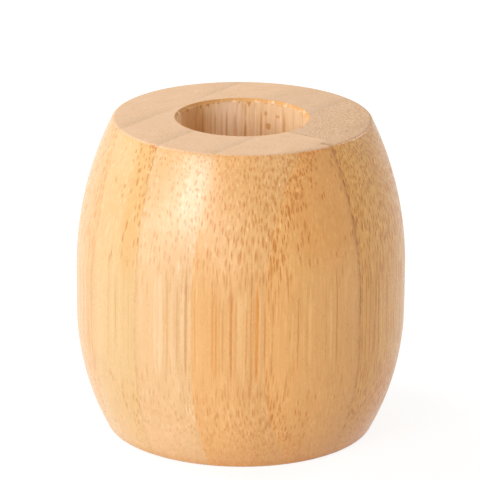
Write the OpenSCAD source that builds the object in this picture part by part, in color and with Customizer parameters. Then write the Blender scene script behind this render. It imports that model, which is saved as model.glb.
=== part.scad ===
// Barrel-shaped toothbrush holder, turned from a block of laminated bamboo.
// The origin is the middle of the foot, +Z points up, and the plies are stacked along Y.
// Bamboo strips are glued edge to edge into plies, and the plies face to face into the
// block. Turning and drilling the block leaves each strip as one piece of the barrel.

/* [Turned shape] */
// Height of the holder
body_h = 45; // [38:0.5:60]
// Widest diameter, round the belly
belly_d = 46.4; // [42:0.2:52]
// Diameter that the upper curve reaches at the top face
rim_d = 36.1; // [28:0.1:40]
// Diameter that the lower curve reaches at the foot
foot_d = 37.6; // [28:0.1:40]
// Height at which the straight belly band starts
band_z = 17.5; // [14:0.5:22]
// Height of the straight belly band
band_h = 5.7; // [2:0.1:8]
// Radius that eases the edge of the top face
top_edge_r = 0.6; // [0.2:0.1:1.5]
// Radius that eases the edge of the foot
foot_edge_r = 0.5; // [0.2:0.1:1.5]

/* [Brush hole] */
// Diameter of the drilled hole
bore_d = 18; // [14:0.5:22]
// Depth of the hole below the top face
bore_depth = 33; // [20:0.5:36]
// Width and depth of the chamfer round the mouth of the hole
mouth_chamfer = 0.4; // [0.2:0.1:1.2]

/* [Laminated block] */
// Thickness of a ply
ply_t = 8.6; // [8:0.1:9.2]
// How far the seam in the middle of the stack lies behind the turning axis
mid_seam_y = 1.4; // [-2:0.1:3]

/* [Hidden] */
$fn = 240;
// Overrun that carries cuts and slabs past the faces they must clear
over = 1;
// Plies in the block, counted from the front (-Y) to the back (+Y)
ply_count = 6;
// The two strips of a ply, at -X and +X
SIDES = ["left", "right"];
// Place of the joint between the two strips of each ply, as shares of the belly radius
joint_shares = [-0.172, -0.095, 0.13, -0.12, 0.09, -0.06];
// Share of an edge radius by which the easing arc stands past the faces it meets, so
// that it crosses them at a small angle
crossing_share = 0.005;
// Natural bamboo, and how light each ply's left and right strips are
bamboo = [0.93, 0.74, 0.48];
tone_shares = [[0.92, 0.82], [0.9, 0.94], [0.98, 0.93], [1, 0.96], [0.94, 0.99], [0.96, 0.91]];

belly_r = belly_d / 2;
bore_r = bore_d / 2;
block_half = belly_r + over;

function strip_name(ply, side) = str("ply_", ply, "_", side, "_strip");

// Radius of an arc that leaves a straight line as its tangent and draws in from it by
// draw_in over the length rise
function arc_radius(rise, draw_in) = (rise * rise + draw_in * draw_in) / (2 * draw_in);

// Place of the seam behind a ply, and of the joint inside it
function seam_y(ply) = mid_seam_y + (ply - ply_count / 2) * ply_t;
function joint_x(ply) = joint_shares[ply - 1] * belly_r;

// Front and back of a ply. The outer plies run to the faces of the block.
function ply_front(ply) = ply == 1 ? -block_half : seam_y(ply - 1);
function ply_back(ply) = ply == ply_count ? block_half : seam_y(ply);

// Waste between the corner of a flank and the arc that eases it. The arc's centre lies
// near one edge radius inside both faces, and lean points from it square to the curve.
module corner_waste(edge_r, lean) {
    reach = 2 * edge_r;
    difference() {
        polygon([[0, 0], reach * lean, [reach, reach], [0, reach]]);
        circle(r = edge_r);
    }
}

// Outline of one flank, from the belly band at y = 0 to an end face at y = rise. Its
// curve leaves the band as a tangent and reaches end_r at the end face.
module flank_outline(rise, end_r, edge_r) {
    curve_r = arc_radius(rise, belly_r - end_r);
    curve_x = belly_r - curve_r;
    inset = edge_r * (1 - crossing_share);
    ease_y = rise - inset;
    ease_run = sqrt(pow(curve_r - inset, 2) - pow(ease_y, 2));
    difference() {
        intersection() {
            translate([curve_x, 0]) circle(r = curve_r);
            square([belly_r, rise]);
        }
        translate([curve_x + ease_run, ease_y])
            corner_waste(edge_r, [ease_run, ease_y] / (curve_r - inset));
    }
}

// Barrel turned from the block, with the outline of both flanks and the band between
module turned_barrel() {
    band_top_z = band_z + band_h;
    rotate_extrude() {
        translate([0, band_top_z])
            flank_outline(body_h - band_top_z, rim_d / 2, top_edge_r);
        translate([0, band_z]) square([belly_r, band_h]);
        translate([0, band_z])
            mirror([0, 1]) flank_outline(band_z, foot_d / 2, foot_edge_r);
    }
}

// Hole drilled from the top face, with its flat floor and the chamfer round its mouth
module brush_hole() {
    chamfer_run = mouth_chamfer + over;
    translate([0, 0, body_h - bore_depth])
        cylinder(r = bore_r, h = bore_depth + over);
    translate([0, 0, body_h - mouth_chamfer])
        cylinder(r1 = bore_r, r2 = bore_r + chamfer_run, h = chamfer_run);
}

// Share of the block that one strip fills before turning
module strip_slab(ply, side) {
    low_x = side == "left" ? -block_half : joint_x(ply);
    high_x = side == "left" ? joint_x(ply) : block_half;
    width = high_x - low_x;
    thickness = ply_back(ply) - ply_front(ply);
    translate([low_x, ply_front(ply), -over])
        cube([width, thickness, body_h + 2 * over]);
}

// One bamboo strip as it is left in the finished barrel
module strip(ply, side) {
    tone = tone_shares[ply - 1][side == "left" ? 0 : 1];
    color(bamboo * tone) difference() {
        intersection() {
            turned_barrel();
            strip_slab(ply, side);
        }
        brush_hole();
    }
}

for (ply = [1:ply_count], side = SIDES)
    strip(ply, side);
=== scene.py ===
"""Looks of a barrel-shaped toothbrush holder, turned from a block of laminated bamboo.

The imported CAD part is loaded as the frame. Each of its twelve bamboo strips is then
replaced by a finer piece, cut from one smooth turned shell, and dressed in a procedural
bamboo finish whose fibres run through the whole block along Z. The axes are the CAD's:
the origin is the middle of the foot, +Z points up and the seams lie across Y.
"""

import logging
import math
from collections.abc import Iterable
from dataclasses import dataclass, field
from enum import Enum, IntEnum

import bmesh
import bpy
import numpy as np
from mathutils import Matrix, Vector


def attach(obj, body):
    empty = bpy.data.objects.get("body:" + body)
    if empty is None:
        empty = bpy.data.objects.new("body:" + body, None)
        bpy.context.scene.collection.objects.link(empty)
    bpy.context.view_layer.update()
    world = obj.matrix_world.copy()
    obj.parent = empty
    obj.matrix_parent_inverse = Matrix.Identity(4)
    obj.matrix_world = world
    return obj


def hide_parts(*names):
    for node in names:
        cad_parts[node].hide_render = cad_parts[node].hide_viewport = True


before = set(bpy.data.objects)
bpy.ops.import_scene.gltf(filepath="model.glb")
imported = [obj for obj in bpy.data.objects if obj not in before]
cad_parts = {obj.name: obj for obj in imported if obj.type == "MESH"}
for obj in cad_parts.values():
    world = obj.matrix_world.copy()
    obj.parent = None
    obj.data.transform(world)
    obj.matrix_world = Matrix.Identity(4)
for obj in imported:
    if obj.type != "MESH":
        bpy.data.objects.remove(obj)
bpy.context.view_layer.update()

LOG = logging.getLogger("toothbrush_holder")
MM = 0.001  # a millimetre in metres
BELLY = 23.2  # radius of the belly in millimetres, by which the joints are placed
CELL_UNEVENNESS = 0.85  # how far a cell's middle may lie from an even grid, 0 to 1

Colour = tuple[float, float, float]
Triple = tuple[float, float, float]
Pair = tuple[float, float]
Socket = bpy.types.NodeSocket
Value = float | int | tuple | Socket


class Side(Enum):
    """The two strips of a ply, named by the side of the joint they lie on."""

    LEFT = "left"
    RIGHT = "right"


class Slot(Enum):
    """Names of material slots for the strips' tones, which no material here is given."""

    PALE = "bamboo_pale"
    GOLDEN = "bamboo_golden"
    TAN = "bamboo_tan"
    BROWN = "bamboo_brown"


class Mark(IntEnum):
    """Where a face of a strip comes from, kept as its material number while it is cut."""

    TURNED = 0
    CUT = 1


class Edge(Enum):
    """The glued faces of a strip: to the ply in front, to the ply behind, to its twin."""

    FRONT = "front"
    BACK = "back"
    JOINT = "joint"


class Vein(Enum):
    """Tints that a streak multiplies the bamboo's tone by."""

    BROWN = (0.80, 0.60, 0.36)
    ORANGE = (0.96, 0.72, 0.34)
    PALE = (1.08, 1.18, 1.40)


class Noise(Enum):
    """Noises of the bamboo: turns per mm along X, Y and Z, detail and roughness."""

    FRAY = ((2.4, 2.4, 1.1), 1.0, 0.5)  # rims of bundles and veins
    DRIFT = ((0.07, 0.07, 0.06), 1.0, 0.5)  # slow wander of the bundles
    SPECKLE = ((1.35 / 0.44, 1.35 / 0.40, 0.0), 1.0, 0.6)  # fine dots between the bundles
    GRAIN = ((3.9, 3.9, 0.32), 2.0, 0.6)  # fine lines along Z
    BAND = ((1.3, 1.3, 0.03), 2.0, 0.5)  # broader lines along Z
    CLOUD = ((0.22, 0.22, 0.05), 2.0, 0.5)  # slow changes of tone on the side
    END_CLOUD = ((0.30, 0.42, 0.0), 3.0, 0.6)  # slow changes of tone on the end grain
    TORN = ((2.1, 2.1, 0.22), 4.0, 0.8)  # fibres that the drill tore
    RAGGED = ((1.5, 1.5, 0.0), 2.0, 0.7)  # lower edge of the scorched ring
    PATCH = ((0.7, 0.7, 0.0), 3.0, 0.7)  # patches of the scorched ring
    GLOSS = ((0.9, 0.9, 0.6), 3.0, 0.6)  # blotches of the lacquer, about 1.5 mm wide
    WOBBLE = ((0.8, 0.8, 0.5), 2.0, 0.6)  # way of the glue lines
    BREAK = ((1.6, 1.6, 0.9), 2.0, 0.5)  # breaks in the glue lines


def srgb(red: int, green: int, blue: int) -> Colour:
    """Turns a colour read from a screen into linear light.

    Each share s of 255 becomes s / 12.92 up to 0.04045 and ((s + 0.055) / 1.055) ** 2.4
    above it.

    Args:
        red: Red, 0 to 255.
        green: Green, 0 to 255.
        blue: Blue, 0 to 255.

    Returns:
        The three linear values.
    """
    shares = np.array([red, green, blue]) / 255
    linear = np.where(shares <= 0.04045, shares / 12.92, ((shares + 0.055) / 1.055) ** 2.4)
    return tuple(float(v) for v in linear)


class Graph:
    """Adds shader nodes to one material or world and wires them."""

    def __init__(self, owner: bpy.types.Material | bpy.types.World) -> None:
        """Clears the owner's nodes.

        Args:
            owner: The material or world.
        """
        owner.use_nodes = True
        self.tree = owner.node_tree
        self.tree.nodes.clear()

    def add(
        self, kind: str, inputs: dict[str | int, Value] | None = None, **settings: object
    ) -> bpy.types.Node:
        """Adds a node.

        Args:
            kind: Blender's name of the node type.
            inputs: What goes into its inputs, by their name or number.
            **settings: Properties of the node, by name.

        Returns:
            The new node.
        """
        node = self.tree.nodes.new(kind)
        for name, setting in settings.items():
            setattr(node, name, setting)
        for key, value in (inputs or {}).items():
            self.plug(node.inputs[key], value)
        return node

    def plug(self, socket: Socket, value: Value) -> None:
        """Links a socket into an input, or writes a plain value there.

        Args:
            socket: The input.
            value: The socket to link, or the plain value.
        """
        if isinstance(value, bpy.types.NodeSocket):
            self.tree.links.new(value, socket)
        else:
            socket.default_value = value

    def math(self, operation: str, *values: Value, clamp: bool = False) -> Socket:
        """Works out one scalar operation.

        Args:
            operation: Blender's name of the operation.
            *values: Up to three numbers.
            clamp: Whether the result is kept between 0 and 1.

        Returns:
            The result.
        """
        settings = {"operation": operation, "use_clamp": clamp}
        return self.add("ShaderNodeMath", dict(enumerate(values)), **settings).outputs[0]

    def times(self, first: Value, *others: Value) -> Socket:
        """Multiplies numbers, from left to right.

        Args:
            first: First number.
            *others: The numbers after it.

        Returns:
            Their product.
        """
        product = first
        for other in others:
            product = self.math("MULTIPLY", product, other)
        return product

    def weigh(self, value: Value, weight: Value, base: Value) -> Socket:
        """Multiplies a value by its weight and adds the base."""
        return self.math("MULTIPLY_ADD", value, weight, base)

    def vector(self, operation: str, *values: Value) -> Socket:
        """Works out one vector operation and returns its vector."""
        inputs = dict(enumerate(values))
        return self.add("ShaderNodeVectorMath", inputs, operation=operation).outputs["Vector"]

    def stretched(self, vector: Value, scales: Triple) -> Socket:
        """Multiplies a vector by a scale for each axis."""
        return self.vector("MULTIPLY", vector, scales)

    def dot(self, vector: Value, along: Triple) -> Socket:
        """Length of a vector along a direction."""
        inputs = {0: vector, 1: along}
        return self.add("ShaderNodeVectorMath", inputs, operation="DOT_PRODUCT").outputs["Value"]

    def scale(self, colour: Value, factor: Value) -> Socket:
        """Makes a colour lighter or darker by a factor."""
        inputs = {0: colour, "Scale": factor}
        return self.add("ShaderNodeVectorMath", inputs, operation="SCALE").outputs["Vector"]

    def split(self, vector: Socket) -> tuple[Socket, Socket, Socket]:
        """Parts a vector into its three numbers."""
        x, y, z = self.add("ShaderNodeSeparateXYZ", {0: vector}).outputs
        return x, y, z

    def step(self, value: Value, span: Pair, low: Value = 0.0, high: Value = 1.0) -> Socket:
        """Eases from low to high while a value goes through a span.

        With s the share of the span that is behind, the way is 3s^2 - 2s^3.

        Args:
            value: The value.
            span: Where the way starts and where it ends.
            low: Result before the span.
            high: Result beyond it.

        Returns:
            The result.
        """
        start, end = span
        inputs = {"Value": value, "From Min": start, "From Max": end, "To Min": low, "To Max": high}
        settings = {"interpolation_type": "SMOOTHSTEP", "clamp": True}
        return self.add("ShaderNodeMapRange", inputs, **settings).outputs["Result"]

    def mix(self, factor: Value, first: Value, second: Value, way: str = "MIX") -> Socket:
        """Blends two colours.

        Args:
            factor: Share of the second colour, which is kept between 0 and 1.
            first: First colour.
            second: Second colour.
            way: Blender's name of the way to blend.

        Returns:
            The blended colour.
        """
        settings = {"data_type": "RGBA", "blend_type": way, "clamp_factor": True}
        node = self.add("ShaderNodeMix", {"Factor": factor}, **settings)
        for name, value in (("A", first), ("B", second)):
            socket = next(s for s in node.inputs if s.name == name and s.type == "RGBA")
            self.plug(socket, (*value, 1.0) if isinstance(value, tuple) else value)
        return next(s for s in node.outputs if s.type == "RGBA")

    def tint(self, factor: Value, colour: Value, tint: Value) -> Socket:
        """Multiplies a colour by a tint, as far as the factor says."""
        return self.mix(factor, colour, tint, "MULTIPLY")

    def noise(self, place: Value, kind: Noise) -> bpy.types.Node:
        """Adds one of the bamboo's noises.

        Args:
            place: Place in millimetres.
            kind: Which noise.

        Returns:
            The node, whose first output is the noise, from about 0 to 1.
        """
        pitch, detail, roughness = kind.value
        inputs = {"Vector": self.stretched(place, pitch), "Scale": 1.0}
        inputs |= {"Detail": detail, "Roughness": roughness}
        return self.add("ShaderNodeTexNoise", inputs, noise_dimensions="3D")

    def centred(self, place: Value, kind: Noise) -> Socket:
        """Noise n between about -1 and 1, as 2n - 1."""
        return self.math("MULTIPLY_ADD", self.noise(place, kind).outputs[0], 2.0, -1.0)

    def shift(self, place: Value, kind: Noise, reach: float) -> Socket:
        """Noisy shifts along X and Y, of up to about half the reach either way."""
        colour = self.noise(place, kind).outputs["Color"]
        return self.stretched(self.vector("SUBTRACT", colour, (0.5, 0.5, 0.5)), (reach, reach, 0.0))

    def cells(self, place: Value, cell: Pair) -> bpy.types.Node:
        """Adds a flat pattern of cells on X and Y and returns its node.

        Args:
            place: The place.
            cell: Width and depth of a cell.

        Returns:
            The node. Its lengths are shares of a cell.
        """
        scales = (1 / cell[0], 1 / cell[1], 0.0)
        inputs = {"Vector": self.stretched(place, scales), "Scale": 1.0}
        inputs |= {"Randomness": CELL_UNEVENNESS}
        return self.add("ShaderNodeTexVoronoi", inputs, voronoi_dimensions="2D", feature="F1")


@dataclass(frozen=True)
class BarrelShape:
    """Sizes of the turned barrel and its hole, in metres, as in the CAD part."""

    body_height: float = 45 * MM
    belly_radius: float = BELLY * MM
    rim_radius: float = 18.05 * MM
    foot_radius: float = 18.8 * MM
    band_bottom: float = 17.5 * MM
    band_height: float = 5.7 * MM
    top_edge_radius: float = 0.6 * MM
    foot_edge_radius: float = 0.5 * MM
    bore_radius: float = 9 * MM
    bore_depth: float = 33 * MM
    mouth_chamfer: float = 0.4 * MM
    row_pitch: float = 0.33 * MM
    band_pitch: float = row_pitch * 1.5
    ease_rows: int = 9
    end_rows: int = 9
    chamfer_rows: int = 4
    wall_rows: int = 34
    floor_rows: int = 6
    turns: int = 432

    @property
    def mouth_radius(self) -> float:
        """Radius of the hole where its chamfer meets the top face."""
        return self.bore_radius + self.mouth_chamfer

    def flank(self, rise: float, end_radius: float, edge_radius: float) -> np.ndarray:
        """Half profile from the belly band to an end face, with its eased edge.

        The flank is an arc that leaves the band as a tangent and draws in by d over the
        rise h, so its radius is (h^2 + d^2) / 2d. A fillet of the edge's radius touches
        the arc from inside and the end face from below.

        Args:
            rise: Height from the band to the end face.
            end_radius: Radius that the arc would reach at the end face.
            edge_radius: Radius of the fillet.

        Returns:
            Rows of (radius, height above the band).
        """
        draw = self.belly_radius - end_radius
        arc = (rise**2 + draw**2) / (2 * draw)
        ease_height = rise - edge_radius
        ease_run = math.sqrt((arc - edge_radius) ** 2 - ease_height**2)
        lean = math.atan2(ease_height, ease_run)
        sweep = np.linspace(0, lean, int(arc * lean / self.row_pitch))
        turn = np.linspace(lean, math.pi / 2, self.ease_rows)[1:]
        axis = self.belly_radius - arc
        flank = np.column_stack([axis + arc * np.cos(sweep), arc * np.sin(sweep)])
        ease_radius = axis + ease_run + edge_radius * np.cos(turn)
        ease = np.column_stack([ease_radius, ease_height + edge_radius * np.sin(turn)])
        return np.vstack([flank, ease])

    def profile(self) -> np.ndarray:
        """Half section of the whole shell, from the foot's middle round to the hole's floor.

        Returns:
            Rows of (radius, height), with a radius of 0 in the first and the last row.
        """
        top, band_top = self.body_height, self.band_bottom + self.band_height
        lower = self.flank(self.band_bottom, self.foot_radius, self.foot_edge_radius)[::-1]
        lower = lower * (1, -1) + (0, self.band_bottom)
        upper = self.flank(top - band_top, self.rim_radius, self.top_edge_radius)
        upper = upper + (0, band_top)
        band_z = np.arange(self.band_bottom, band_top, self.band_pitch)[1:]
        band = np.column_stack([np.full_like(band_z, self.belly_radius), band_z])
        foot = self.line((0, 0), lower[0], self.end_rows)[:-1]
        face = self.line(upper[-1], (self.mouth_radius, top), self.end_rows)[1:]
        chamfer_end = (self.bore_radius, top - self.mouth_chamfer)
        chamfer = self.line(face[-1], chamfer_end, self.chamfer_rows)[1:]
        floor_z = top - self.bore_depth
        wall = self.line(chamfer[-1], (self.bore_radius, floor_z), self.wall_rows)[1:]
        floor = self.line(wall[-1], (0, floor_z), self.floor_rows)[1:]
        return np.vstack([foot, lower, band, upper, face, chamfer, wall, floor])

    @staticmethod
    def line(start: Iterable[float], end: Iterable[float], count: int) -> np.ndarray:
        """Evenly spaced points a (1 - s) + b s from a start a to an end b, both included."""
        share = np.linspace(0, 1, count)[:, None]
        return np.asarray(start) * (1 - share) + np.asarray(end) * share

    def shell(self) -> bmesh.types.BMesh:
        """Turns the profile about Z into one closed shell whose faces point outwards.

        Row i and turn j give (r_i cos a_j, r_i sin a_j, z_i). The two rows on the axis are
        single points that fans of triangles close.

        Returns:
            The shell as an editable mesh.
        """
        rows = self.profile()
        ring = rows[1:-1]
        count = len(ring)
        angle = np.linspace(0, 2 * math.pi, self.turns, endpoint=False)
        grid = np.empty((count, self.turns, 3))
        grid[:, :, 0] = ring[:, :1] * np.cos(angle)
        grid[:, :, 1] = ring[:, :1] * np.sin(angle)
        grid[:, :, 2] = ring[:, 1:]
        points = np.vstack([grid.reshape(-1, 3), (0, 0, rows[0, 1]), (0, 0, rows[-1, 1])])
        index = np.arange(count * self.turns).reshape(count, self.turns)
        after = np.roll(index, -1, axis=1)
        quads = np.stack([index[:-1], after[:-1], after[1:], index[1:]], axis=-1).reshape(-1, 4)
        foot, floor = count * self.turns, count * self.turns + 1
        fan_low = np.stack([np.full(self.turns, foot), after[0], index[0]], axis=-1)
        fan_high = np.stack([np.full(self.turns, floor), index[-1], after[-1]], axis=-1)
        faces = quads.tolist() + fan_low.tolist() + fan_high.tolist()
        mesh = bpy.data.meshes.new("turned_shell")
        mesh.from_pydata(points.tolist(), [], faces)
        shell = bmesh.new()
        shell.from_mesh(mesh)
        bpy.data.meshes.remove(mesh)
        return shell


@dataclass(frozen=True)
class BlockLayout:
    """Where the seams between plies and the joints inside them lie, in metres."""

    ply_count: int = 6
    ply_thickness: float = 8.6 * MM
    middle_seam: float = 1.4 * MM
    joints: tuple[float, ...] = tuple(
        share * BELLY * MM for share in (-0.172, -0.095, 0.13, -0.12, 0.09, -0.06)
    )

    def seam(self, ply: int) -> float:
        """Place along Y of the seam behind a ply."""
        return self.middle_seam + (ply - self.ply_count / 2) * self.ply_thickness

    def joint(self, ply: int) -> float:
        """Place along X of the joint inside a ply."""
        return self.joints[ply - 1]

    def belly_span(self, ply: int, side: Side, radius: float) -> Pair:
        """First and last angle of a strip on the belly, in degrees from +X.

        A seam at Y meets the belly of radius r at asin(Y / r) and opposite, and the joint
        of the first and the last ply at acos(X / r) on its own side.

        Args:
            ply: Number of the ply.
            side: Which strip of the ply.
            radius: Radius of the belly in metres.

        Returns:
            The two angles, the smaller first.
        """
        joint = math.degrees(math.acos(self.joint(ply) / radius))
        first_ply, last_ply = ply == 1, ply == self.ply_count
        low = -joint if first_ply else math.degrees(math.asin(self.seam(ply - 1) / radius))
        high = joint if last_ply else math.degrees(math.asin(self.seam(ply) / radius))
        if side is Side.RIGHT:
            return low, high
        return (joint if last_ply else 180 - high), (360 - joint if first_ply else 180 - low)


@dataclass(frozen=True)
class StripCutter:
    """Cuts one strip out of the turned shell and eases the arrises along its glue lines."""

    layout: BlockLayout = BlockLayout()
    arris_width: float = 0.06 * MM
    arris_depth: float = 0.006 * MM
    weld_reach: float = 1e-8
    plane_reach: float = 1e-6

    def trim(self, mesh: bmesh.types.BMesh, axis: int, place: float, keep: int) -> None:
        """Cuts a closed mesh by a plane, drops one side and closes the cut.

        A first cut beside the plane only adds the row of points where the arris starts.

        Args:
            mesh: The mesh, which is changed.
            axis: 0 for a plane across X, 1 for one across Y.
            place: Where the plane crosses that axis.
            keep: 1 keeps the side beyond the plane, -1 the side before it.
        """
        normal = Vector((0, 0, 0))
        normal[axis] = 1.0
        for offset, clear in ((keep * self.arris_width, False), (0.0, True)):
            cut = bmesh.ops.bisect_plane(
                mesh,
                geom=mesh.verts[:] + mesh.edges[:] + mesh.faces[:],
                dist=self.weld_reach,
                plane_co=normal * (place + offset),
                plane_no=normal,
                clear_inner=clear and keep > 0,
                clear_outer=clear and keep < 0,
            )
        rim = [e for e in cut["geom_cut"] if isinstance(e, bmesh.types.BMEdge) and e.is_boundary]
        caps = bmesh.ops.holes_fill(mesh, edges=rim, sides=0)["faces"]
        for cap in caps:
            cap.material_index = Mark.CUT
        bmesh.ops.triangulate(mesh, faces=caps, ngon_method="BEAUTY")

    def cut(self, shell: bmesh.types.BMesh, ply: int, side: Side) -> bpy.types.Mesh:
        """Cuts one strip out of a copy of the shell.

        Args:
            shell: The whole turned shell, which is left as it is.
            ply: Number of the ply, from 1 at the front.
            side: Which strip of the ply.

        Returns:
            The strip's closed mesh.
        """
        strip = shell.copy()
        if ply > 1:
            self.trim(strip, 1, self.layout.seam(ply - 1), 1)
        if ply < self.layout.ply_count:
            self.trim(strip, 1, self.layout.seam(ply), -1)
        self.trim(strip, 0, self.layout.joint(ply), 1 if side is Side.RIGHT else -1)
        bmesh.ops.remove_doubles(strip, verts=strip.verts[:], dist=self.weld_reach)
        bmesh.ops.recalc_face_normals(strip, faces=strip.faces[:])
        mesh = bpy.data.meshes.new(f"bamboo_ply_{ply}_{side.value}")
        strip.to_mesh(mesh)
        strip.free()
        self.ease(mesh, ply)
        return mesh

    @staticmethod
    def read(
        rows: bpy.types.bpy_prop_collection, name: str, kind: type, width: int = 1
    ) -> np.ndarray:
        """Reads one property of all points, corners or faces of a mesh.

        Args:
            rows: The points, corners or faces.
            name: Blender's name of the property.
            kind: Type of its numbers.
            width: How many numbers it has.

        Returns:
            The numbers, in rows of the width where that is more than 1.
        """
        numbers = np.empty(len(rows) * width, dtype=kind)
        rows.foreach_get(name, numbers)
        return numbers.reshape(-1, width) if width > 1 else numbers

    def ease(self, mesh: bpy.types.Mesh, ply: int) -> None:
        """Sinks the strip's outer edges along its glue lines by the arris depth.

        A point on a glue plane moves by -depth * n, where n is the sum of the outward
        normals of the turned faces round it, made one long, without its part across the
        plane, so the cut faces stay flat.

        Args:
            mesh: The strip's mesh, which is changed.
            ply: Number of the ply.
        """
        points = self.read(mesh.vertices, "co", float, 3)
        corner_point = self.read(mesh.loops, "vertex_index", np.int64)
        face_normal = self.read(mesh.polygons, "normal", float, 3)
        corners = self.read(mesh.polygons, "loop_total", np.int64)
        mark = self.read(mesh.polygons, "material_index", np.int64)
        face = np.repeat(np.arange(len(corners)), corners)
        turned = mark[face] == Mark.TURNED
        normal = np.zeros_like(points)
        np.add.at(normal, corner_point[turned], face_normal[face[turned]])
        length = np.linalg.norm(normal, axis=1)
        on_shell = length > 0
        normal[on_shell] /= length[on_shell, None]
        on_seam = np.zeros(len(points), dtype=bool)
        for number in (ply - 1, ply):
            if 0 < number < self.layout.ply_count:
                on_seam |= np.abs(points[:, 1] - self.layout.seam(number)) < self.plane_reach
        on_joint = np.abs(points[:, 0] - self.layout.joint(ply)) < self.plane_reach
        normal[on_seam, 1] = 0
        normal[on_joint, 0] = 0
        normal[~(on_shell & (on_seam | on_joint))] = 0
        points -= self.arris_depth * normal
        mesh.vertices.foreach_set("co", points.ravel())
        mesh.polygons.foreach_set("material_index", np.zeros(len(mark), dtype=np.int32))
        mesh.update()


@dataclass(frozen=True)
class Streak:
    """One long vein on the turned side or the bored wall, in degrees from +X and in mm.

    A few broad ones stand for painted shade and painted light instead.
    """

    angle: float
    width: float
    low: float
    high: float
    vein: Vein
    strength: float


@dataclass(frozen=True)
class GlueLine:
    """How one glued edge of a strip shows. The width is in millimetres.

    The foot share is what is left of its strength below the belly.
    """

    edge: Edge
    strength: float
    width: float = 0.16
    tint: Colour = (0.52, 0.38, 0.24)
    foot_share: float = 1.0


@dataclass(frozen=True)
class BambooFinish:
    """How one strip's bamboo looks.

    A cell is in millimetres. Dense and sparse are the shares of cells that hold a bundle
    at the strip's two faces, falloff and skin say how the share falls between them, and
    bold is the share of bold bundles. The other shares and amounts are strengths.
    """

    tone: Colour
    dense: float = 0.75
    sparse: float = 0.1
    falloff: float = 1.0
    skin: float = 0.0
    dense_back: bool = False
    bold: float = 0.0
    fibre_share: float = 1.0
    belly_share: float = 0.65
    cell: Pair = (0.46, 0.46)
    grain: float = 0.28
    speckle: float = 0.55
    end_speckle: float = 0.35
    banding: float = 0.2
    seed: int = 0
    end_shade: float = 1.0
    bore_contrast: float = 0.5
    roughness: float = 0.29
    chance_veins: int = 0
    lines: tuple[GlueLine, ...] = ()


@dataclass(frozen=True)
class BambooTints:
    """Tones of the bamboo's faces, and tints that a tone is multiplied by."""

    fibre: Colour = (0.74, 0.50, 0.20)
    fleck: Colour = (1.10, 1.24, 1.55)
    grain_dark: Colour = (0.86, 0.80, 0.62)
    grain_pale: Colour = (1.14, 1.20, 1.38)
    # Tint of the side's top edge, and of the painted shade at its foot.
    top_tint_and_foot_shade: Colour = (0.92, 0.74, 0.48)
    end_grain: Colour = (0.745, 0.480, 0.284)
    drilled: Colour = (0.90, 0.62, 0.36)
    scorched: Colour = srgb(222, 160, 86)
    # A darker scorch, deepened by painted shade, for one side of the mouth's ring.
    shaded_scorch: Colour = srgb(198, 134, 56)


@dataclass(frozen=True)
class BambooSurface:
    """Gloss and relief of the bamboo. Sink and lift are shares of the relief's depth."""

    gloss_spread: float = 0.12
    fibre_matt: float = 0.22
    end_roughness: float = 0.85
    drilled_roughness: float = 0.75
    relief_strength: float = 0.3
    relief_depth: float = 0.03 * MM
    fibre_sink: float = -0.6
    grain_lift: float = 0.25
    refraction: float = 1.5
    specular: float = 0.73


@dataclass(frozen=True)
class BundleLook:
    """How fibre bundles and flecks lie and show.

    Cells, shifts, wander, fray and the bend of the growth rings are in millimetres, other
    sizes in shares of a cell. The seed's shift moves the pattern for each step of a
    finish's seed. A width, strength or speckle is its least value and its spread, and a
    rim is where a blot starts to show and where it is full. The heights part the foot,
    the belly and the shoulder.
    """

    wander: float = 0.9
    fray: float = 0.20
    ring_bend: float = 25.0
    seed_shift: float = 7.3
    width: Pair = (0.24, 0.13)
    rim: Pair = (1.3, 0.4)
    strength: Pair = (0.46, 0.32)
    bold_cell: Pair = (0.80, 0.72)
    bold_width: Pair = (0.20, 0.10)
    bold_shift: Pair = (1.7, 2.9)
    bold_falloff: float = 3.0
    fleck_cell: Pair = (0.44, 0.40)
    fleck_rim: Pair = (0.42, 0.12)
    fleck_shift: Triple = (0.31, 3.17, 0.0)
    fleck_share: float = 0.55
    speckle: Pair = (0.25, 0.75)
    foot_heights: Pair = (1.0, 8.0)
    foot_presence: Pair = (0.4, 0.85)
    belly_heights: Pair = (8.0, 15.0)
    shoulder_heights: Pair = (25.0, 32.0)


@dataclass(frozen=True)
class SideLook:
    """Strengths on the lacquered side, with a darker top edge and painted shade at the foot.

    A span is where the tint or the painted shade starts and where it is full, in millimetres
    from the end face, and a shift moves its pattern, in millimetres for each step of a
    finish's seed.
    """

    grain_shift: float = 3.1
    band_shift: float = 5.0
    cloud: float = 0.25
    fleck: float = 0.9
    vein_rim: Pair = (1.3, 0.2)
    vein_fray: float = 0.6
    top_tint_span: Pair = (0.9, 0.2)
    top_tint_strength: float = 0.25
    # Painted shade that darkens the side towards the foot.
    foot_shade_span: Pair = (1.5, 0.2)
    foot_shade_strength: float = 0.5


@dataclass(frozen=True)
class EndLook:
    """Strengths on the sanded end grain, and how far from its face it takes over."""

    cloud: float = 0.28
    fleck: float = 0.5
    dense_edge: Pair = (0.35, 0.0)
    dense_shade: float = 0.90
    top_fade: Pair = (0.24, 0.03)
    foot_fade: Pair = (0.25, 0.02)


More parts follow.
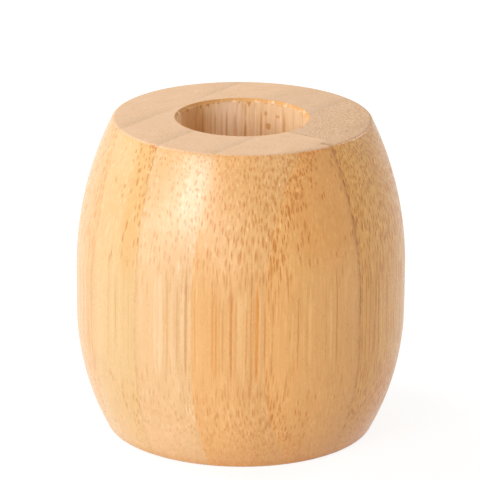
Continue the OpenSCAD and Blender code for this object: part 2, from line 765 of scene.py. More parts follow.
@dataclass(frozen=True)
class DrilledLook:
    """Strengths on the drilled wall, and the ring that the drill scorched at its mouth.

    The fades are in millimetres: from the mouth's radius, by height, and along the
    direction of the side where shade is painted into the ring. The ring's strength falls
    where the patches are pale, and the other pairs are levels of a noise.
    """

    grain: float = 0.3
    fibre: float = 0.6
    mouth_fade: Pair = (0.12, 0.02)
    height_fade: Pair = (3.0, 6.0)
    ring_blur: float = 0.14
    ragged: Pair = (0.50, 0.85)
    patch: Pair = (0.50, 0.66)
    patch_rise: float = -0.55
    pale_patch: Pair = (0.42, 0.62)
    ring_strength: Pair = (0.95, 0.85)
    # Painted shade: the ring turns to the darker scorch along this direction.
    shade_fade: Pair = (-2.0, 8.5)
    shade_side: Triple = (-0.5736, 0.8192, 0.0)


@dataclass(frozen=True)
class LineLook:
    """How glue lines waver and break. The wobble and the heights are in millimetres."""

    wobble: float = 0.06
    core: float = 0.25
    breaks: Pair = (-0.25, 0.3)
    break_share: float = 0.35
    heights: Pair = (8.0, 20.0)


@dataclass(frozen=True)
class Bundles:
    """One set of dark fibre bundles, each a blot in a cell of a flat pattern.

    The shift parts the patterns of different strips, and the cell is its width and depth,
    both in millimetres. The width of a bundle is its least half width and the spread of
    that, in shares of a cell. Dense and sparse are the shares of cells that are filled at
    the strip's two faces.
    """

    shift: Triple
    cell: Pair
    width: Pair
    dense: float
    sparse: float
    falloff: float


@dataclass
class BambooDresser:
    """Builds the shader of one strip from its finish and from where its planes lie.

    The nodes read millimetres. The fields from g on are set by dress(), which works them
    out at each place on the strip, and the other methods make the colours from them.
    """

    ply: int
    finish: BambooFinish
    # Some of these are broad bands of painted shade.
    veins: tuple[Streak, ...]
    bore_veins_and_painted_light: tuple[Streak, ...]
    shape: BarrelShape = BarrelShape()
    layout: BlockLayout = BlockLayout()
    tints: BambooTints = BambooTints()
    surface: BambooSurface = BambooSurface()
    bundle: BundleLook = BundleLook()
    side: SideLook = SideLook()
    end: EndLook = EndLook()
    drilled: DrilledLook = DrilledLook()
    line: LineLook = LineLook()
    g: Graph = field(init=False)
    top: float = field(init=False)
    place: Socket = field(init=False)
    x: Socket = field(init=False)
    y: Socket = field(init=False)
    z: Socket = field(init=False)
    frayed: Socket = field(init=False)
    grain: Socket = field(init=False)
    fibres: Socket = field(init=False)
    flecks: Socket = field(init=False)
    speckle: Socket = field(init=False)
    sparseness: Socket = field(init=False)

    def dress(self, name: str) -> bpy.types.Material:
        """Makes the strip's material.

        Args:
            name: Name of the material.

        Returns:
            The material.
        """
        material = bpy.data.materials.new(name)
        g = Graph(material)
        self.g = g
        self.top = self.shape.body_height / MM
        coordinates = g.add("ShaderNodeTexCoord").outputs["Object"]
        self.place = g.stretched(coordinates, (1 / MM, 1 / MM, 1 / MM))
        self.x, self.y, self.z = g.split(self.place)
        self.frayed = g.shift(self.place, Noise.FRAY, self.bundle.fray)
        self.mark_bundles()
        shift = (0.0, self.finish.seed * self.side.grain_shift, 0.0)
        self.grain = g.centred(g.vector("ADD", self.place, shift), Noise.GRAIN)
        side, end, bore = self.side_colour(), self.end_colour(), self.bore_colour()
        radius = g.math("SQRT", g.weigh(self.x, self.x, g.times(self.y, self.y)))
        mouth = self.shape.mouth_radius / MM
        on_top = g.step(self.z, tuple(self.top - depth for depth in self.end.top_fade))
        inside = g.step(radius, tuple(mouth + reach for reach in self.drilled.mouth_fade))
        inside = g.times(inside, g.step(self.z, self.drilled.height_fade))
        colour = g.mix(on_top, side, end)
        colour = g.mix(g.step(self.z, self.end.foot_fade), colour, end)
        colour = self.lined(g.mix(inside, colour, bore))
        self.finish_shader(colour, on_top, inside)
        return material

    def finish_shader(self, colour: Socket, on_top: Socket, inside: Socket) -> None:
        """Gives the shader its colour, gloss and relief.

        Args:
            colour: Colour of the strip.
            on_top: 1 on the top face, 0 elsewhere.
            inside: 1 in the hole, 0 elsewhere.
        """
        g, surface = self.g, self.surface
        gloss = g.centred(self.place, Noise.GLOSS)
        rough = g.weigh(gloss, surface.gloss_spread, self.finish.roughness)
        rough = g.weigh(self.fibres, surface.fibre_matt, rough)
        rough = g.step(on_top, (0.0, 1.0), rough, surface.end_roughness)
        rough = g.step(inside, (0.0, 1.0), rough, surface.drilled_roughness)
        height = g.weigh(self.fibres, surface.fibre_sink, g.times(self.grain, surface.grain_lift))
        relief = {"Strength": surface.relief_strength, "Distance": surface.relief_depth}
        bump = g.add("ShaderNodeBump", relief | {"Height": height})
        inputs = {"Base Color": colour, "Roughness": rough, "Normal": bump.outputs[0]}
        inputs |= {"IOR": surface.refraction, "Specular IOR Level": surface.specular}
        shader = g.add("ShaderNodeBsdfPrincipled", inputs)
        g.add("ShaderNodeOutputMaterial", {"Surface": shader.outputs[0]})

    def mark_bundles(self) -> None:
        """Finds the fibre bundles, which run along Z and wander a little on their way.

        The share of filled cells falls with t, which goes from 0 at the strip's dense face
        to 1 at its other face, as bamboo is dense under its skin. A slope across the
        bundles shows dots, the belly long streaks. Bold bundles lie only near the dense
        face. Kept for the colours are the strength of the dark bundles and of the pale
        flecks beside them, the fine speckle between about -1 and 1, and t.
        """
        g, finish, look = self.g, self.finish, self.bundle
        drift = g.shift(self.place, Noise.DRIFT, look.wander)
        spot = g.vector("ADD", g.vector("ADD", self.place, drift), self.frayed)
        start = finish.seed * look.seed_shift
        seeded = (start, 0.0, 0.0)
        shifted = g.vector("ADD", spot, seeded)
        self.sparseness = self.across(spot)
        shares = (finish.dense, finish.sparse, finish.falloff)
        dark = self.blots(spot, Bundles(seeded, finish.cell, look.width, *shares))
        if finish.bold:
            aside = (start + look.bold_shift[0], look.bold_shift[1], 0.0)
            shares_of_bold = (finish.bold, 0.0, look.bold_falloff)
            bold = Bundles(aside, look.bold_cell, look.bold_width, *shares_of_bold)
            dark = g.math("MAXIMUM", dark, self.blots(spot, bold))
        pattern = g.cells(g.vector("ADD", shifted, look.fleck_shift), look.fleck_cell)
        lot, size, _ = g.split(pattern.outputs["Color"])
        pale = g.step(pattern.outputs["Distance"], look.fleck_rim)
        pale = g.times(pale, g.math("LESS_THAN", lot, look.fleck_share))
        pale = g.times(pale, g.math("SUBTRACT", 1.0, dark))
        presence = self.presence()
        self.fibres = g.times(dark, presence)
        self.flecks = g.times(pale, size, presence)
        least, spread = look.speckle
        amount = g.times(g.weigh(self.filled(self.sparseness, *shares), spread, least), presence)
        self.speckle = g.times(g.centred(shifted, Noise.SPECKLE), amount)

    def filled(self, away: Socket, dense: float, sparse: float, falloff: float) -> Socket:
        """Share of cells that hold a bundle.

        At the place t it is s + (d - s) m^f, where m = (1 - t) / (1 - k), at most 1, and k
        is the evenly dense share of the ply, the finish's skin.

        Args:
            away: Place t across the ply.
            dense: Share d at the dense face.
            sparse: Share s at the sparse face.
            falloff: Power f.

        Returns:
            The share.
        """
        g = self.g
        near = g.math("SUBTRACT", 1.0, away)
        near = g.math("MULTIPLY", near, 1 / (1 - self.finish.skin), clamp=True)
        return g.weigh(g.math("POWER", near, falloff), dense - sparse, sparse)

    def presence(self) -> Socket:
        """How strongly bundles show at a height: most on the shoulder, least at the foot.

        Returns:
            The strength, 0 to 1.
        """
        look = self.bundle
        foot = self.g.step(self.z, look.foot_heights, *look.foot_presence)
        lower = self.g.step(self.z, look.belly_heights, foot, self.finish.belly_share)
        return self.g.step(self.z, look.shoulder_heights, lower, 1.0)

    def across(self, spot: Socket) -> Socket:
        """Place across the ply, 0 at the strip's dense face and 1 at its other face.

        The growth rings are arcs of radius R about a line beyond the sparse face, so the
        place is u + (x - c)^2 / (2 R T), with u the plain share, T the ply's thickness and
        c the strip's middle.

        Args:
            spot: Place on the strip.

        Returns:
            The place across, 0 to 1.
        """
        g = self.g
        x, y, _ = g.split(spot)
        thick = self.layout.ply_thickness / MM
        front = self.layout.seam(self.ply) / MM - thick
        depth = g.math("DIVIDE", g.math("SUBTRACT", y, front), thick)
        if self.finish.dense_back:
            depth = g.math("SUBTRACT", 1.0, depth)
        aside = g.math("SUBTRACT", g.math("ABSOLUTE", x), self.shape.belly_radius / MM / 2)
        bend = g.times(aside, aside, 1 / (2 * self.bundle.ring_bend * thick))
        return g.math("ADD", depth, bend, clamp=True)

    def blots(self, spot: Socket, bundles: Bundles) -> Socket:
        """Strength of one set of dark bundles.

        Args:
            spot: Place on the strip.
            bundles: The set.

        Returns:
            The strength, 0 to 1.
        """
        g = self.g
        pattern = g.cells(g.vector("ADD", spot, bundles.shift), bundles.cell)
        centre = g.stretched(pattern.outputs["Position"], (*bundles.cell, 0.0))
        away = self.across(g.vector("SUBTRACT", centre, bundles.shift))
        filled = self.filled(away, bundles.dense, bundles.sparse, bundles.falloff)
        lot, size, shade = g.split(pattern.outputs["Color"])
        least, spread = bundles.width
        half = g.weigh(size, spread, least)
        blot = g.step(g.math("DIVIDE", pattern.outputs["Distance"], half), self.bundle.rim)
        least, spread = self.bundle.strength
        return g.times(blot, g.math("LESS_THAN", lot, filled), g.weigh(shade, spread, least))

    def varied(self, tone: Value, *parts: tuple[Socket, float]) -> Socket:
        """Multiplies a tone by a blend of the dark and the pale grain tint.

        The blend is 0.5 + sum(n * a) for each noise n and its amount a.

        Args:
            tone: The tone.
            *parts: Each noise with its amount.

        Returns:
            The varied tone.
        """
        share: Value = 0.5
        for noise, amount in parts:
            share = self.g.weigh(noise, amount, share)
        tint = self.g.mix(share, self.tints.grain_dark, self.tints.grain_pale)
        return self.g.tint(1.0, tone, tint)

    def side_colour(self) -> Socket:
        """Colour of the lacquered side: the strip's tone, grain, flecks, fibres and veins.

        Returns:
            The colour, tinted darker towards the top edge, with painted shade towards the foot.
        """
        g, finish, look = self.g, self.finish, self.side
        cloud = g.centred(self.place, Noise.CLOUD)
        shifted = g.vector("ADD", self.place, (finish.seed * look.band_shift, 0.0, 0.0))
        band = g.centred(shifted, Noise.BAND)
        broad = ((self.grain, finish.grain), (band, finish.banding), (cloud, look.cloud))
        tone = self.varied(finish.tone, *broad, (self.speckle, finish.speckle))
        tone = g.tint(g.times(self.flecks, look.fleck), tone, self.tints.fleck)
        tone = g.tint(g.times(self.fibres, finish.fibre_share), tone, self.tints.fibre)
        tone = self.streaked(tone, self.veins)
        # Darker towards the top edge. Towards the foot the same tint is painted shade.
        heights = tuple(self.top - depth for depth in look.top_tint_span)
        upper = g.step(self.z, heights, 0.0, look.top_tint_strength)
        edge = g.math("MAXIMUM", upper, g.step(self.z, look.foot_shade_span, 0.0, look.foot_shade_strength))
        return g.tint(edge, tone, self.tints.top_tint_and_foot_shade)

    def streaked(self, colour: Socket, streaks: Iterable[Streak]) -> Socket:
        """Lays single veins, and a few broad bands of painted shade and light, over a colour.

        With t the place across the vein and z along it, a vein of width w between heights
        m - h and m + h covers (2t / w)^2 + ((z - m) / h)^4 < 1 and fades towards its rim.

        Args:
            colour: The colour under the veins.
            streaks: The veins.

        Returns:
            The colour with its veins.
        """
        g, fray = self.g, self.side.vein_fray
        wavy = g.vector("ADD", self.place, g.stretched(self.frayed, (fray, fray, 0.0)))
        for streak in streaks:
            turn = math.radians(streak.angle)
            across = g.dot(wavy, (-math.sin(turn), math.cos(turn), 0.0))
            across = g.times(across, 2 / streak.width)
            middle, half = (streak.high + streak.low) / 2, (streak.high - streak.low) / 2
            along = g.math("DIVIDE", g.math("SUBTRACT", self.z, middle), half)
            along = g.times(along, along)
            rim = g.weigh(along, along, g.times(across, across))
            share = g.step(rim, self.side.vein_rim, 0.0, streak.strength)
            colour = g.tint(share, colour, streak.vein.value)
        return colour

    def end_colour(self) -> Socket:
        """Colour of the sanded end grain.

        Returns:
            The colour, darker towards the dense face of each ply.
        """
        g, finish, look = self.g, self.finish, self.end
        cloud = g.centred(self.place, Noise.END_CLOUD)
        shade = g.step(self.sparseness, look.dense_edge, 1.0, look.dense_shade)
        tone = g.scale(self.tints.end_grain, g.times(shade, finish.end_shade))
        tone = self.varied(tone, (cloud, look.cloud), (self.speckle, finish.end_speckle))
        tone = g.tint(g.times(self.fibres, finish.end_speckle), tone, self.tints.fibre)
        return g.tint(g.times(self.flecks, look.fleck), tone, self.tints.fleck)

    def bore_colour(self) -> Socket:
        """Colour of the drilled wall, with its veins and its scorched, ragged mouth.

        Returns:
            The colour. The ring is darkest, with painted shade, on the far side of the mouth.
        """
        g, look, tints = self.g, self.drilled, self.tints
        torn = (g.centred(self.place, Noise.TORN), self.finish.bore_contrast)
        tone = self.varied(tints.drilled, torn, (self.grain, look.grain))
        tone = g.tint(g.times(self.fibres, look.fibre), tone, tints.fibre)
        tone = self.streaked(tone, self.bore_veins_and_painted_light)
        ragged = g.step(g.noise(self.place, Noise.RAGGED).outputs[0], look.ragged)
        patch = g.noise(self.place, Noise.PATCH).outputs[0]
        height = g.math("ADD", ragged, self.z)
        height = g.weigh(g.step(patch, look.patch), look.patch_rise, height)
        ring_z = (self.shape.body_height - self.shape.mouth_chamfer) / MM
        ring = g.step(height, (ring_z - look.ring_blur, ring_z + look.ring_blur))
        ring = g.times(ring, g.step(patch, look.pale_patch, *look.ring_strength))
        # Painted shade darkens the ring towards one side of the mouth.
        in_shade = g.step(g.dot(self.place, look.shade_side), look.shade_fade)
        return g.mix(ring, tone, g.mix(in_shade, tints.scorched, tints.shaded_scorch))

    def lined(self, colour: Socket) -> Socket:
        """Tints the colour along the strip's glue lines, which come and go along their way.

        Args:
            colour: The colour under the lines.

        Returns:
            The colour with its lines.
        """
        g, look = self.g, self.line
        wobble = g.centred(self.place, Noise.WOBBLE)
        broken = g.step(g.centred(self.place, Noise.BREAK), look.breaks, look.break_share, 1.0)
        planes = {
            Edge.FRONT: (self.y, self.layout.seam(self.ply) - self.layout.ply_thickness),
            Edge.BACK: (self.y, self.layout.seam(self.ply)),
            Edge.JOINT: (self.x, self.layout.joint(self.ply)),
        }
        for line in self.finish.lines:
            value, where = planes[line.edge]
            away = g.math("ABSOLUTE", g.math("SUBTRACT", value, where / MM))
            away = g.weigh(wobble, look.wobble, away)
            fade = g.step(away, (line.width, line.width * look.core), 0.0, line.strength)
            fade = g.times(fade, broken, g.step(self.z, look.heights, line.foot_share, 1.0))
            colour = g.tint(fade, colour, line.tint)
        return colour


@dataclass(frozen=True)
class ChanceVeins:
    """Ranges of the veins at random places, in degrees and in millimetres.

    The margin keeps them off the strip's edges, and the shares are those of the kinds of
    vein, in their order.
    """

    margin: float = 1.0
    widths: Pair = (0.18, 0.42)
    lows: Pair = (12.5, 17.5)
    highs: Pair = (23.5, 29.5)
    kind_shares: Triple = (0.3, 0.35, 0.35)
    strengths: Pair = (0.45, 0.95)


@dataclass
class BambooBlock:
    """The twelve strips of the holder, cut, dressed and set in the frame."""

    shape: BarrelShape = BarrelShape()
    layout: BlockLayout = BlockLayout()
    cutter: StripCutter = StripCutter()
    chance: ChanceVeins = ChanceVeins()
    sharp_angle: float = 35.0

    def chance_streaks(self, ply: int, side: Side, count: int) -> tuple[Streak, ...]:
        """Veins at seeded random places on the belly of a strip.

        Args:
            ply: Number of the ply.
            side: Which strip of the ply.
            count: How many veins.

        Returns:
            The veins.
        """
        rng = np.random.default_rng(100 * ply + (7 if side is Side.LEFT else 3))
        first, last = self.layout.belly_span(ply, side, self.shape.belly_radius)
        chance = self.chance
        angles = rng.uniform(first + chance.margin, last - chance.margin, count)
        widths = rng.uniform(*chance.widths, count)
        lows = rng.uniform(*chance.lows, count)
        highs = rng.uniform(*chance.highs, count)
        kinds = rng.choice(len(Vein), count, p=chance.kind_shares)
        strengths = rng.uniform(*chance.strengths, count)
        return tuple(
            Streak(float(a), float(w), float(lo), float(hi), list(Vein)[kind], float(s))
            for a, w, lo, hi, kind, s in zip(angles, widths, lows, highs, kinds, strengths)
        )

    @staticmethod
    def streaks(*rows: tuple[float, float, float, float, Vein, float]) -> tuple[Streak, ...]:
        """Makes veins from rows of angle, width, low and high end, kind and strength."""
        return tuple(Streak(*row) for row in rows)

    def front_veins_and_painted_shade(self) -> dict[tuple[int, Side], tuple[Streak, ...]]:
        """Veins of the strips that face the photograph, and two broad casts of painted shade.

        Returns:
            The veins by ply and side, placed as it shows them.
        """
        brown, orange, pale = Vein.BROWN, Vein.ORANGE, Vein.PALE
        return {
            (4, Side.LEFT): self.streaks(
                # The broad orange cast from 26 mm up is painted shade on the upper flank.
                (172.5, 4.6, 26.0, 60.0, orange, 0.38), (170.0, 14.0, -12.0, 12.0, orange, 0.12),
                (163.3, 0.24, 14.0, 28.0, brown, 0.45), (165.5, 0.36, 14.5, 28.5, pale, 0.5),
                (167.3, 0.26, 15.0, 27.0, brown, 0.55), (169.2, 0.40, 14.5, 29.0, pale, 0.5),
                (171.3, 0.25, 14.5, 29.0, orange, 0.33),
            ),
            (3, Side.LEFT): self.streaks(
                # The broad orange cast from 29 mm up is painted shade on the upper flank.
                (186.0, 5.0, 29.0, 60.0, orange, 0.2), (184.6, 0.30, 15.5, 28.5, pale, 0.45),
                (186.6, 0.95, 14.0, 29.0, pale, 1.0), (189.6, 0.24, 15.0, 28.0, brown, 0.45),
                (191.2, 0.44, 14.5, 29.0, pale, 0.40), (193.2, 0.30, 15.5, 28.0, brown, 0.42),
                (195.1, 0.54, 14.0, 28.5, pale, 0.8), (196.3, 0.42, 14.0, 30.5, brown, 0.85),
                (197.6, 0.26, 15.0, 28.5, pale, 0.59),
            ),
            (2, Side.LEFT): self.streaks(
                (205.5, 0.26, 14.5, 28.5, orange, 0.9), (206.8, 0.24, 14.0, 26.5, orange, 0.9),
                (211.8, 0.42, 14.3, 28.3, brown, 1.0), (214.6, 0.50, 15.0, 28.0, pale, 1.0),
                (218.6, 0.24, 12.5, 29.0, brown, 0.7), (220.5, 0.64, 14.0, 28.5, orange, 0.95),
                (221.5, 0.24, 15.0, 27.5, pale, 0.7),
            ),
            (1, Side.LEFT): self.streaks(
                (247.0, 12.0, 29.0, 60.0, orange, 0.30), (223.0, 0.26, 13.0, 29.0, brown, 0.6),
                (227.2, 0.22, 17.0, 27.0, pale, 0.6), (227.9, 0.18, 22.0, 30.0, brown, 0.45),
                (233.5, 0.26, 13.3, 17.6, orange, 0.7), (236.8, 0.32, 15.0, 30.0, pale, 0.65),
                (238.1, 0.28, 15.0, 28.0, brown, 0.3), (239.2, 0.50, 15.5, 28.0, pale, 1.0),
                (245.2, 0.20, 15.0, 28.5, brown, 0.59), (247.1, 0.28, 14.0, 28.0, pale, 0.8),
                (249.6, 0.26, 14.0, 30.0, brown, 0.95),
            ),
            (1, Side.RIGHT): self.streaks(
                (285.0, 16.0, -14.0, 14.0, orange, 0.30), (265.3, 0.24, 14.0, 28.5, brown, 0.9),
                (266.8, 0.24, 14.0, 28.5, pale, 0.8), (268.2, 0.26, 15.0, 27.5, brown, 0.78),
                (269.3, 0.22, 14.0, 29.0, pale, 0.5), (270.3, 0.24, 14.0, 28.0, brown, 0.8),
                (276.0, 0.30, 15.0, 28.0, brown, 0.65), (283.0, 0.40, 14.0, 29.0, pale, 0.65),
            ),
        }

    def bore_veins_and_painted_light(self) -> dict[tuple[int, Side], tuple[Streak, ...]]:
        """Veins and knots of the drilled wall, and broad bands of painted shade and light.

        Returns:
            The veins by ply and side, placed as the photograph shows them.
        """
        brown, orange, pale = Vein.BROWN, Vein.ORANGE, Vein.PALE
        knot = (10.6, 0.85, 40.7, 41.7, brown, 1.0)
        return {
            (4, Side.RIGHT): self.streaks(
                # The broad brown vein at 90 degrees is painted shade on the hole's darker side.
                (90.0, 6.5, 24.0, 50.0, brown, 0.7), (72.0, 2.8, 30.0, 43.6, brown, 0.3),
                (82.5, 0.30, 36.0, 44.2, brown, 0.4), (73.2, 0.28, 36.0, 44.2, brown, 0.7),
                (70.0, 0.35, 36.0, 44.2, pale, 0.6), (64.4, 0.34, 36.0, 44.0, brown, 0.4),
                (62.1, 0.25, 36.0, 44.2, pale, 0.5), (60.1, 0.22, 36.0, 43.5, brown, 0.5),
                (53.9, 0.35, 37.5, 43.0, brown, 0.4), (51.5, 0.25, 36.0, 44.2, pale, 0.6),
                # The broad pale vein at 49 degrees is painted light on the middle of the wall.
                (49.0, 5.0, 28.0, 47.0, pale, 0.7), (49.2, 0.28, 36.0, 43.6, brown, 0.7),
                (45.4, 0.60, 36.0, 44.2, pale, 0.4), (41.8, 0.44, 36.0, 43.0, brown, 0.5),
                (38.4, 0.28, 36.0, 43.8, pale, 0.5), (34.4, 0.30, 36.0, 43.8, pale, 0.7),
                (32.1, 0.42, 34.0, 41.9, brown, 1.0), (32.1, 0.26, 42.3, 44.3, brown, 0.6),
                (30.0, 0.26, 34.0, 44.3, pale, 0.6), (23.4, 0.44, 34.0, 44.3, pale, 0.7),
                (17.7, 0.32, 34.0, 43.6, brown, 0.9), (15.4, 0.22, 34.0, 43.6, pale, 0.5),
                (13.2, 0.55, 42.7, 43.4, brown, 0.8), knot,
            ),
            (3, Side.RIGHT): self.streaks(
                knot, (3.2, 0.26, 38.0, 43.4, brown, 0.4), (1.0, 0.80, 42.6, 43.1, brown, 0.7),
                (-2.3, 0.42, 36.0, 43.8, pale, 0.7), (-6.2, 0.34, 36.0, 43.8, brown, 1.0),
                (-12.5, 0.34, 36.0, 41.4, orange, 0.9), (-18.0, 0.30, 36.0, 41.6, brown, 0.4),
                (-28.7, 0.30, 37.5, 43.0, brown, 0.6), (-34.0, 0.30, 38.0, 43.0, brown, 0.5),
            ),
        }

    def finishes(self) -> dict[tuple[int, Side], tuple[Slot, BambooFinish]]:
        """Names the looks of every strip.

        Returns:
            Slot and finish of each strip, by ply and side.
        """
        pale, golden = (0.765, 0.472, 0.222), (0.76, 0.45, 0.185)
        tan, brown = (0.777, 0.417, 0.146), (0.825, 0.422, 0.100)
        sideways, upright = (0.32, 0.44), (0.36, 0.40)
        left, right = Side.LEFT, Side.RIGHT
        joint = GlueLine(Edge.JOINT, 0.75, 0.16, (0.54, 0.38, 0.20), foot_share=0.6)
        soft = GlueLine(Edge.JOINT, 0.55, 0.70, (0.70, 0.54, 0.34), foot_share=0.2)
        faint = GlueLine(Edge.JOINT, 0.5)
        bright = GlueLine(Edge.FRONT, 0.7, 0.2, (1.12, 1.16, 1.24))
        front_left = BambooFinish(
            (0.818, 0.418, 0.126), dense=1.2, sparse=0.12, falloff=12.0, skin=0.15, seed=1,
            dense_back=True, bold=0.4, cell=upright, grain=0.48, fibre_share=1.5, speckle=0.9,
            end_shade=0.94, lines=(joint, soft),
        )
        front_right = BambooFinish(
            brown, dense=1.0, sparse=0.8, seed=2, dense_back=True, bold=0.45, cell=upright,
            end_shade=0.86, fibre_share=2.0, speckle=1.2, end_speckle=0.8, lines=(joint, soft),
        )
        second_left = BambooFinish(
            tan, dense=1.15, sparse=0.5, seed=3, bold=0.6, belly_share=0.55, cell=(0.46, 0.38),
            speckle=0.9, fibre_share=1.1, lines=(faint,),
        )
        second_right = BambooFinish(
            golden, dense=1.0, sparse=0.4, seed=4, bold=0.3, end_shade=0.88, end_speckle=1.05,
            chance_veins=7, lines=(faint,),
        )
        third_left = BambooFinish(
            pale, dense=0.95, sparse=0.35, seed=5, cell=sideways, banding=0.28, grain=0.2,
            fibre_share=0.85, speckle=0.3, lines=(GlueLine(Edge.BACK, 0.3),),
        )
        third_right = BambooFinish(
            golden, dense=0.7, seed=6, bore_contrast=0.2, end_shade=0.92, chance_veins=7,
            lines=(bright,),
        )
        fourth_left = BambooFinish(
            (0.742, 0.482, 0.214), dense=1.25, sparse=0.05, falloff=3.5, skin=0.12, seed=7,
            belly_share=0.4, bold=0.7, cell=(0.40, 0.50), grain=0.18, fibre_share=1.35,
            speckle=0.22, lines=(GlueLine(Edge.FRONT, 0.45),),
        )
        fourth_right = BambooFinish(golden, dense=0.55, seed=8, bore_contrast=0.7, chance_veins=7)
        hidden = {"dense": 0.8, "chance_veins": 6}
        last = hidden | {"sparse": 0.3, "lines": (faint,)}
        return {
            (1, left): (Slot.TAN, front_left),
            (1, right): (Slot.BROWN, front_right),
            (2, left): (Slot.TAN, second_left),
            (2, right): (Slot.GOLDEN, second_right),
            (3, left): (Slot.PALE, third_left),
            (3, right): (Slot.GOLDEN, third_right),
            (4, left): (Slot.PALE, fourth_left),
            (4, right): (Slot.GOLDEN, fourth_right),
            (5, left): (Slot.GOLDEN, BambooFinish(golden, seed=9, **hidden)),
            (5, right): (Slot.PALE, BambooFinish(pale, seed=10, **hidden)),
            (6, left): (Slot.GOLDEN, BambooFinish(golden, seed=11, **last)),
            (6, right): (Slot.TAN, BambooFinish(tan, seed=12, **last)),
        }

    def build(self) -> None:
        """Cuts and dresses every strip and sets it on the CAD body in its node's stead."""
        shell = self.shape.shell()
        front, bore = self.front_veins_and_painted_shade(), self.bore_veins_and_painted_light()
        for (ply, side), (slot, finish) in self.finishes().items():
            mesh = self.cutter.cut(shell, ply, side)
            mesh.shade_smooth()
            mesh.set_sharp_from_angle(angle=math.radians(self.sharp_angle))
            name = f"bamboo_ply_{ply}_{side.value}"
            random_veins = self.chance_streaks(ply, side, finish.chance_veins)
            veins = front.get((ply, side), random_veins)
            dresser = BambooDresser(ply, finish, veins, bore.get((ply, side), ()))
            mesh.materials.append(dresser.dress(f"{name}_finish"))
            piece = bpy.data.objects.new(name, mesh)
            bpy.context.scene.collection.objects.link(piece)
            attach(piece, "root")
            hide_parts(f"ply_{ply}_{side.value}_strip")
            LOG.info("%s: %d faces", name, len(mesh.polygons))
        shell.free()


@dataclass(frozen=True)
class Lamp:
    """A soft lamp that faces the middle of the object.

    It hangs around the object, in degrees from the camera's side and positive to its
    right, and above the level. Its power is in watts, its size and distance in metres.
    """

    name: str
    around: float
    above: float
    power: float
    size: Pair = (0.3, 0.3)
    away: float = 0.8


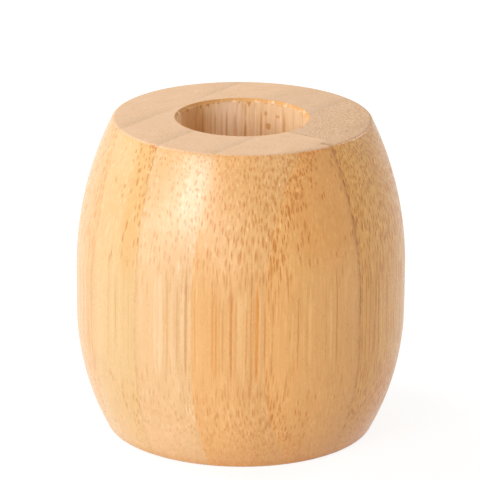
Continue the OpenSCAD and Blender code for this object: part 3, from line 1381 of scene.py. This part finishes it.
@dataclass
class Studio:
    """Camera at the photograph's angle, soft lamps, white surroundings and a pale floor.

    The angles are in degrees, and the aim is the point that the camera looks at. The sky
    is the strength of the light from all round. Light falls on the floor's colour, and
    the camera sees the floor in the seen colour with the seen glow added.
    """

    azimuth: float = -55.0
    elevation: float = 18.4389
    distance: float = 500 * MM
    lens: float = 265.96
    sensor: float = 36.0
    clip: Pair = (0.01, 20.0)
    roll: float = 0.5191
    aim_right: float = -0.1552 * MM
    aim_height: float = 26.8972 * MM
    sky: float = 0.30
    floor_size: float = 6.0
    floor_colour: Colour = (0.9, 0.84, 0.74)
    seen_colour: Colour = (0.25, 0.25, 0.25)
    seen_glow: float = 0.84
    lamps: tuple[Lamp, ...] = (
        Lamp("key_lamp", -38, 20, 2.65, (0.38, 0.34)),
        Lamp("left_lamp", -115, 55, 2.75),
        Lamp("top_lamp", -85, 55, 0.4),
        Lamp("right_lamp", 130, 28, 1.3),
        Lamp("back_lamp", -150, 28, 0.8),
        Lamp("front_lamp", -12, 5, 0.65),
        Lamp("side_lamp", -60, 5, 0.85),
        Lamp("fill_lamp", 25, 45, 0.35),
    )

    def directions(self) -> tuple[Vector, Vector, Vector]:
        """Directions that the camera and the lamps are placed by.

        Returns:
            The camera's level look, its right, and straight up.
        """
        turn = math.radians(self.azimuth)
        look = Vector((-math.sin(turn), math.cos(turn), 0))
        right = Vector((math.cos(turn), math.sin(turn), 0))
        return look, right, Vector((0, 0, 1))

    def place_camera(self) -> None:
        """Sets the camera where the photograph was taken from."""
        look, right, up = self.directions()
        tilt, roll = math.radians(self.elevation), math.radians(self.roll)
        forward = math.cos(tilt) * look - math.sin(tilt) * up
        above = math.sin(tilt) * look + math.cos(tilt) * up
        across = math.cos(roll) * right + math.sin(roll) * above
        upright = math.cos(roll) * above - math.sin(roll) * right
        spot = self.aim_right * right + self.aim_height * up - self.distance * forward
        camera = bpy.data.objects.new("camera", bpy.data.cameras.new("camera"))
        camera.data.lens = self.lens
        camera.data.sensor_width = self.sensor
        camera.data.clip_start, camera.data.clip_end = self.clip
        axes = Matrix((across, upright, -forward)).transposed().to_4x4()
        camera.matrix_world = Matrix.Translation(spot) @ axes
        bpy.context.scene.collection.objects.link(camera)
        bpy.context.scene.camera = camera

    def hang(self, lamp: Lamp) -> None:
        """Hangs a lamp where its angles and its distance say.

        Args:
            lamp: The lamp.
        """
        look, right, up = self.directions()
        turn, lift = math.radians(lamp.around), math.radians(lamp.above)
        level = math.sin(turn) * right - math.cos(turn) * look
        toward = math.cos(lift) * level + math.sin(lift) * up
        light = bpy.data.objects.new(lamp.name, bpy.data.lights.new(lamp.name, "AREA"))
        light.data.shape = "RECTANGLE"
        light.data.size, light.data.size_y = lamp.size
        light.data.energy = lamp.power
        light.location = toward * lamp.away + up * self.aim_height
        light.rotation_mode = "QUATERNION"
        light.rotation_quaternion = toward.to_track_quat("Z", "Y")
        bpy.context.scene.collection.objects.link(light)

    def surroundings(self) -> None:
        """Even white light from all round, which the camera sees as plain white."""
        world = bpy.data.worlds.new("studio_white")
        g = Graph(world)
        strength = g.step(self.seen_directly(g), (0.0, 1.0), self.sky, 1.0)
        inputs = {"Color": (1.0, 1.0, 1.0, 1.0), "Strength": strength}
        light = g.add("ShaderNodeBackground", inputs)
        g.add("ShaderNodeOutputWorld", {"Surface": light.outputs[0]})
        bpy.context.scene.world = world

    @staticmethod
    def seen_directly(g: Graph) -> Socket:
        """Tells what the camera sees from what only lights the object.

        Args:
            g: The graph.

        Returns:
            1 for what is seen, also by way of a mirror or through glass, and 0 otherwise.
        """
        path = g.add("ShaderNodeLightPath")
        seen = g.math("MAXIMUM", path.outputs["Is Camera Ray"], path.outputs["Is Glossy Ray"])
        return g.math("MAXIMUM", seen, path.outputs["Is Transmission Ray"])

    def floor(self) -> None:
        """Lays a pale floor that shows white and keeps a soft shadow."""
        corners = np.array([(-1, -1, 0), (1, -1, 0), (1, 1, 0), (-1, 1, 0)]) * self.floor_size / 2
        mesh = bpy.data.meshes.new("floor")
        mesh.from_pydata(corners.tolist(), [], [(0, 1, 2, 3)])
        floor = bpy.data.objects.new("floor", mesh)
        bpy.context.scene.collection.objects.link(floor)
        material = bpy.data.materials.new("studio_floor")
        g = Graph(material)
        seen = self.seen_directly(g)
        colour = g.mix(seen, self.floor_colour, self.seen_colour)
        matte = g.add("ShaderNodeBsdfDiffuse", {"Color": colour})
        glow = g.add("ShaderNodeEmission", {"Strength": g.times(seen, self.seen_glow)})
        both = g.add("ShaderNodeAddShader", {0: matte.outputs[0], 1: glow.outputs[0]})
        g.add("ShaderNodeOutputMaterial", {"Surface": both.outputs[0]})
        mesh.materials.append(material)

    def build(self) -> None:
        """Sets up the whole studio."""
        self.place_camera()
        self.surroundings()
        for lamp in self.lamps:
            self.hang(lamp)
        self.floor()
        bpy.context.scene.view_settings.view_transform = "Standard"


def main() -> None:
    """Builds the studio and the holder."""
    logging.basicConfig(level=logging.INFO, format="%(name)s: %(message)s")
    Studio().build()
    BambooBlock().build()
    bpy.context.view_layer.update()


if __name__ == "__main__":
    main()
